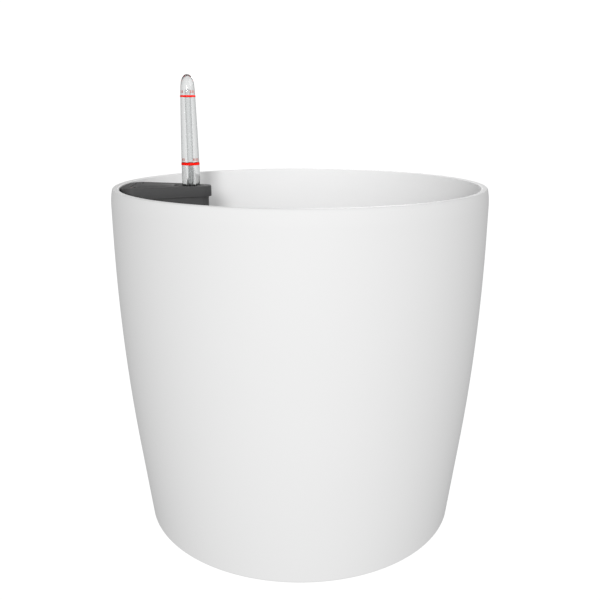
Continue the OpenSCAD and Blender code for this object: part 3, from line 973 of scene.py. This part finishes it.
class PLANTER_OT_shaft(bpy.types.Operator):
    """Model the hollow filling shaft, with its collar, catches, guides and water notches"""

    bl_idname = "planter.shaft"
    bl_label = "Filling shaft"

    def execute(self, context):
        pot, shaft = context.scene.planter_pot, context.scene.planter_shaft
        sizes = context.scene.planter_separator
        mouth = inner_radius(pot, pot.height)
        low, high = shaft_low.z, shaft_high.z
        under = plate_low.z + sizes.rib_depth
        deck = under + sizes.thickness
        inset = shaft.step + shaft.wall
        bm = prism(wedge(shaft, mouth, shaft.step), low, high)
        collar = prism(wedge(shaft, mouth, shaft.step - 3 * MM), deck, deck + shaft.collar)
        bm = combine(bm, round_edges(collar, 0.5 * MM), "UNION")
        catch_top = under - 0.1 * MM
        catch_low = catch_top - 2.3 * MM
        catches = prism(wedge(shaft, mouth, shaft.step - 1.5 * MM), catch_low, catch_top)
        span = block((-112 * MM, -60 * MM, catch_low - 1 * MM), (-102 * MM, 60 * MM, catch_top + 1 * MM))
        bm = combine(bm, combine(catches, span, "INTERSECT"), "UNION")
        bm = combine(bm, cavity(pot, shaft.pot_gap, low, high + 1 * MM), "INTERSECT")
        hollow = prism(wedge(shaft, mouth, inset), low - 1 * MM, high + 1 * MM)
        room = cavity(pot, shaft.pot_gap + shaft.wall, low - 0.5 * MM, high + 2 * MM)
        bm = combine(bm, combine(hollow, room, "INTERSECT"))
        notches = bmesh.new()
        for x in (-104 * MM, -88 * MM):
            add_block(notches, (x - 4 * MM, -60 * MM, low - 2 * MM), (x + 4 * MM, 60 * MM, low + shaft.notch))
        add_block(notches, (-75 * MM, -4 * MM, low - 2 * MM), (-55 * MM, 4 * MM, low + shaft.notch))
        bm = combine(bm, round_edges(notches, 1.5 * MM, segments=4))
        for side in (-1, 1):
            near, far = sorted((side * 5.2 * MM, side * 25 * MM))
            guide = block((-91.8 * MM, near, low + shaft.notch + 2 * MM), (-90.2 * MM, far, high - 4 * MM))
            bound = prism(wedge(shaft, mouth, inset - 0.2 * MM), low, high)
            bm = combine(bm, combine(guide, bound, "INTERSECT"), "UNION")
        make_piece("shaft", bm, "insert", "dark_plastic", "supply_shaft", soft=0.2 * MM)
        return {"FINISHED"}


class PLANTER_OT_lid(bpy.types.Operator):
    """Model the lid of the filling shaft, with its skirt, gauge hole and flap bed"""

    bl_idname = "planter.lid"
    bl_label = "Shaft lid"

    def execute(self, context):
        pot, shaft = context.scene.planter_pot, context.scene.planter_shaft
        mouth = inner_radius(pot, pot.height)
        top, bottom = lid_high.z, lid_low.z
        under = top - shaft.lid_top_thickness
        above = top + 2 * MM
        bm = prism(wedge(shaft, mouth, 0), bottom, top)
        round_edges(bm, shaft.edge, where=lambda co: co.z > top - 1e-5)
        round_edges(bm, 0.25 * MM, segments=2, where=lambda co: co.z < bottom + 1e-5)
        bm = combine(bm, prism(wedge(shaft, mouth, shaft.skirt_thickness), bottom - 1 * MM, under))
        bm = combine(bm, bar(shaft.hole, gauge_axis + UP * bottom, gauge_axis + UP * above, 96))
        front, back = flap_high.x, hinge_axis.x + 3 * MM
        bed = flap_outline(shaft, mouth, -shaft.flap_gap, front + shaft.flap_gap, back - 1.7 * MM)
        bm = combine(bm, prism(bed, top - shaft.flap_thickness - 0.05 * MM, above))
        opening = flap_outline(shaft, mouth, 1.5 * MM, front - 1.5 * MM, back + 0.5 * MM)
        bm = combine(bm, prism(opening, under - 1 * MM, above))
        half = shaft.barrel_half + 0.15 * MM
        slot = block((hinge_axis.x - 3.1 * MM, -half, under - 1 * MM), (back + 1 * MM, half, above))
        bm = combine(bm, slot)
        dish = Vector((front, 0, 0))
        bm = combine(bm, bar(4 * MM, dish + UP * (top - 0.6 * MM), dish + UP * above, 64))
        for side in (-1, 1):
            near, far = sorted((side * (shaft.barrel_half + 0.5 * MM), side * pin_half))
            ear = block((hinge_axis.x - 2.4 * MM, near, lid_high.z - 4.7 * MM),
                        (hinge_axis.x + 2.2 * MM, far, under + 0.4 * MM))
            round_edges(ear, 0.8 * MM, where=lambda co: co.z < under - 1 * MM)
            bm = combine(bm, ear, "UNION")
        bm = combine(bm, hinge_bar(pin_radius, pin_half + 1 * MM, 32))
        make_piece("lid", bm, "lid", "dark_plastic", "shaft_lid", soft=0.08 * MM)
        return {"FINISHED"}


class PLANTER_OT_flap(bpy.types.Operator):
    """Model the filler flap with its barrel and ribs, and the steel pin"""

    bl_idname = "planter.flap"
    bl_label = "Filler flap"

    def execute(self, context):
        pot, shaft = context.scene.planter_pot, context.scene.planter_shaft
        mouth = inner_radius(pot, pot.height)
        top = flap_high.z
        low = top - shaft.flap_thickness
        half = shaft.barrel_half
        outline = flap_outline(shaft, mouth, 0, flap_high.x, hinge_axis.x + 3 * MM)
        bm = round_edges(prism(outline, low, top), 0.12 * MM, segments=2)
        heel = hinge_axis.x - 1.65 * MM
        neck = block((heel, -half, low), (hinge_axis.x + 4 * MM, half, top - 0.02 * MM))
        bm = combine(bm, neck, "UNION")
        bm = combine(bm, hinge_bar(shaft.barrel, half, 96), "UNION")
        for side in (-1, 1):
            rib = block((hinge_axis.x + 2 * MM, (side * 7 - 0.6) * MM, low - 1.6 * MM),
                        (hinge_axis.x + 24 * MM, (side * 7 + 0.6) * MM, low + 0.1 * MM))
            bm = combine(bm, rib, "UNION")
        bm = combine(bm, hinge_bar(pin_radius + 0.06 * MM, half + 1 * MM, 32))
        make_piece("flap", bm, "flap", "dark_plastic", "filler_flap", soft=0.06 * MM)
        pin = round_edges(hinge_bar(pin_radius, pin_half, 32), 0.2 * MM, segments=2, least=60)
        make_piece("pin", pin, "lid", "steel", "flap_pin")
        return {"FINISHED"}


class PLANTER_OT_gauge(bpy.types.Operator):
    """Turn the clear tube of the level indicator, its red marks and its printed dashes"""

    bl_idname = "planter.gauge"
    bl_label = "Level indicator"

    def execute(self, context):
        gauge = context.scene.planter_gauge
        heights = [cage_high.z] + steps_between(lid_high.z, gauge.tip_start, 24)
        tip = tube_high.z - gauge.tip_start
        heights += [gauge.tip_start + tip * math.sin(math.radians(a)) for a in range(5, 90, 5)]
        section = [(gauge.bore, tube_low.z), (gauge.neck, tube_low.z), (gauge.neck, cage_high.z)]
        section += [(tube_radius(gauge, z), z) for z in heights]
        section += [(0, tube_high.z)]
        section += arc((0, gauge.bore_top - gauge.bore), gauge.bore, 90, 0, 10)
        tube = lathe(section, gauge_axis, closed=True)
        make_piece("tube", tube, "indicator", "clear_plastic", "sight_tube")
        self.mark(gauge, "upper", upper_low.z, upper_high.z, "max_ring")
        self.mark(gauge, "lower", lower_low.z, lower_high.z, "min_ring")
        return {"FINISHED"}

    def mark(self, gauge, name, low, high, node):
        """A red ring and the short dashes printed over it."""
        around = tube_radius(gauge, (low + high) / 2)
        edge = 0.2 * MM
        out = around + gauge.proud
        section = [(around - gauge.sunk, low)]
        section += arc((out - edge, low + edge), edge, -90, 0, 4)
        section += arc((out - edge, high - edge), edge, 0, 90, 4)
        section += [(around - gauge.sunk, high)]
        ring = lathe(section, gauge_axis, closed=True)
        make_piece(f"{name}_mark", ring, "indicator", "red_mark", node)
        dashes = bmesh.new()
        base = high + gauge.print_gap
        for start, count in ((-150, 2), (-64, 3)):
            for i in range(count):
                self.dash(dashes, gauge, base, start + 17 * i, 10)
        make_piece(f"{name}_print", dashes, "indicator", "red_mark", finish=finish_for("faded_print"))

    def dash(self, bm, gauge, low, start, sweep):
        """A thin printed patch that hugs the tube between two angles in degrees."""
        film = 0.03 * MM
        high = low + gauge.print_height
        corners = []
        for z, lift in ((low, -film), (low, film), (high, film), (high, -film)):
            corners.append(Vector((tube_radius(gauge, z) + lift, 0, z)))
        turn = Matrix.Rotation(math.radians(start), 4, "Z")
        verts = [bm.verts.new(gauge_axis + turn @ c) for c in corners]
        section = bm.faces.new(verts)
        ending = bmesh.ops.spin(
            bm, geom=verts + section.edges[:], cent=gauge_axis, axis=UP,
            angle=math.radians(sweep), steps=5,
        )["geom_last"]
        bm.faces.new([g for g in ending if isinstance(g, bmesh.types.BMVert)])


class PLANTER_OT_cage(bpy.types.Operator):
    """Turn the slotted guide tube that the float runs in, and its foot"""

    bl_idname = "planter.cage"
    bl_label = "Float guide"

    def execute(self, context):
        gauge = context.scene.planter_gauge
        outer = (cage_high.x - cage_low.x) / 2
        section = [
            (gauge.cage_bore, cage_low.z), (outer, cage_low.z),
            (outer, cage_high.z), (gauge.cage_bore, cage_high.z),
        ]
        bm = lathe(eased(section, 0.3 * MM, closed=True), gauge_axis, closed=True)
        slots = spokes([45, 135, 225, 315], 3 * MM, outer + 1 * MM, gauge.cage_slot,
                       cage_low.z + 4 * MM, cage_low.z + 56 * MM, gauge_axis)
        bm = combine(bm, round_edges(slots, 1.1 * MM, segments=4))
        make_piece("guide", bm, "indicator", "light_plastic", "float_cage", soft=0.1 * MM)
        water = 2 * MM
        section = [
            (water, foot_low.z), (outer, foot_low.z), (outer, cage_low.z),
            (gauge.cage_bore, cage_low.z), (gauge.cage_bore, foot_high.z), (water, foot_high.z),
        ]
        bm = lathe(eased(section, 0.3 * MM, closed=True), gauge_axis, closed=True)
        make_piece("guide_foot", bm, "indicator", "light_plastic", "cage_foot")
        return {"FINISHED"}


class PLANTER_OT_float(bpy.types.Operator):
    """Turn the hollow float, its cap, its clear rod and the rod's red tip"""

    bl_idname = "planter.float"
    bl_label = "Float"

    def execute(self, context):
        wall = context.scene.planter_gauge.float_wall
        radius = (float_high.x - float_low.x) / 2
        bore = radius - wall
        rod = (rod_high.x - rod_low.x) / 2
        tip = (tip_high.x - tip_low.x) / 2
        rim = float_high.z
        self.turned("float", "float_body", "light_plastic", 0.8 * MM, [
            (0, float_low.z), (radius, float_low.z), (radius, rim), (bore, rim),
            (bore, float_low.z + wall), (0, float_low.z + wall),
        ])
        socket = 2.8 * MM
        self.turned("cap", "float_cap", "light_plastic", 0.4 * MM, [
            (0, cap_low.z), (bore, cap_low.z), (bore, rim), (radius, rim),
            (radius, rim + 1.2 * MM), (socket, rim + 1.2 * MM), (socket, cap_high.z),
            (rod, cap_high.z), (rod, rod_low.z), (0, rod_low.z),
        ])
        self.turned("rod", "float_rod", "clear_plastic", 0.15 * MM, [
            (0, rod_low.z), (rod, rod_low.z), (rod, rod_high.z), (0, rod_high.z),
        ])
        shoulder = tip_high.z - 0.5 * MM
        self.turned("tip", "rod_tip", "red_mark", 0.25 * MM, [
            (0, tip_low.z), (tip, tip_low.z), (tip, shoulder), (tip - 0.7 * MM, tip_high.z),
            (0, tip_high.z),
        ])
        return {"FINISHED"}

    def turned(self, name, node, slot, ease, section):
        """A round piece of the float on the indicator's axis."""
        bm = lathe(eased(section, ease), gauge_axis, steps=64)
        make_piece(name, bm, "float", slot, node)


class PLANTER_OT_stage(bpy.types.Operator):
    """Set up the room, the lights and the camera"""

    bl_idname = "planter.stage"
    bl_label = "Stage"

    def execute(self, context):
        stage, pot = context.scene.planter_stage, context.scene.planter_pot
        self.room(context, stage.ambient)
        middle = (0, 0, pot.height / 2)
        self.light(context, "front light", stage.key_size, stage.key_power, (-0.1, -2.9, 0.85), middle)
        self.light(context, "back light", stage.key_size, stage.back_power, (0.4, 2.9, 0.95), middle)
        self.light(context, "top light", stage.fill_size, stage.fill_power, (0, 0, 0.36), middle)
        camera = bpy.data.cameras.new("camera")
        camera.lens = stage.lens
        camera.sensor_width = 36
        eye = bpy.data.objects.new("camera", camera)
        context.scene.collection.objects.link(eye)
        eye.location = (
            stage.distance * math.cos(stage.bearing),
            stage.distance * math.sin(stage.bearing),
            pot.height + stage.rise,
        )
        eye.rotation_euler = (math.pi / 2 - stage.pitch, 0, stage.bearing + math.pi / 2)
        context.scene.camera = eye
        context.scene.view_settings.view_transform = "Standard"
        return {"FINISHED"}

    def room(self, context, ambient):
        """A plain white room: full brightness where it is seen, dimmer as light."""
        world = bpy.data.worlds.new("room")
        world.use_nodes = True
        context.scene.world = world
        tree = world.node_tree
        back = tree.nodes["Background"]
        back.inputs["Color"].default_value = (1, 1, 1, 1)
        path = tree.nodes.new("ShaderNodeLightPath")
        seen = tree.nodes.new("ShaderNodeMath")
        seen.operation = "MAXIMUM"
        level = tree.nodes.new("ShaderNodeMapRange")
        level.inputs["To Min"].default_value = ambient
        level.inputs["To Max"].default_value = 1.05
        tree.links.new(path.outputs["Is Camera Ray"], seen.inputs[0])
        tree.links.new(path.outputs["Is Transmission Ray"], seen.inputs[1])
        tree.links.new(seen.outputs[0], level.inputs["Value"])
        tree.links.new(level.outputs[0], back.inputs["Strength"])

    def light(self, context, name, size, power, place, target):
        """A soft round light at place, aimed at target."""
        light = bpy.data.lights.new(name, "AREA")
        light.shape = "DISK"
        light.size = size
        light.energy = power
        lamp = bpy.data.objects.new(name, light)
        context.scene.collection.objects.link(lamp)
        lamp.location = place
        lamp.rotation_euler = (Vector(target) - Vector(place)).to_track_quat("-Z", "Y").to_euler()
        lamp.visible_camera = False
        lamp.visible_transmission = False


class PLANTER_PT_parts(bpy.types.Panel):
    """Buttons for every piece and the stage"""

    bl_idname = "PLANTER_PT_parts"
    bl_label = "Planter"
    bl_space_type = "VIEW_3D"
    bl_region_type = "UI"
    bl_category = "Planter"

    def draw(self, context):
        column = self.layout.column()
        for operator in OPERATORS:
            column.operator(operator.bl_idname)


OPERATORS = (
    PLANTER_OT_pot, PLANTER_OT_drain, PLANTER_OT_separator, PLANTER_OT_legs, PLANTER_OT_cups,
    PLANTER_OT_shaft, PLANTER_OT_lid, PLANTER_OT_flap, PLANTER_OT_gauge, PLANTER_OT_cage,
    PLANTER_OT_float, PLANTER_OT_stage,
)
GROUPS = {
    "planter_pot": PotSizes,
    "planter_drain": DrainSizes,
    "planter_separator": SeparatorSizes,
    "planter_shaft": ShaftSizes,
    "planter_gauge": GaugeSizes,
    "planter_finishes": Finishes,
    "planter_stage": StageSizes,
}


def register():
    for cls in (*GROUPS.values(), *OPERATORS, PLANTER_PT_parts):
        bpy.utils.register_class(cls)
    for name, group in GROUPS.items():
        setattr(bpy.types.Scene, name, PointerProperty(type=group))


def unregister():
    for name in GROUPS:
        delattr(bpy.types.Scene, name)
    for cls in reversed((*GROUPS.values(), *OPERATORS, PLANTER_PT_parts)):
        bpy.utils.unregister_class(cls)


def main():
    register()
    for operator in OPERATORS:
        group, name = operator.bl_idname.split(".")
        getattr(getattr(bpy.ops, group), name)()
    for entry in frame["record"]["subparts"]:
        node = frame["nodes"][entry["node"]]
        node.data.materials.clear()
        node.data.materials.append(finish_for(entry["material_slot"]))
    bpy.context.view_layer.update()


if __name__ == "__main__":
    main()
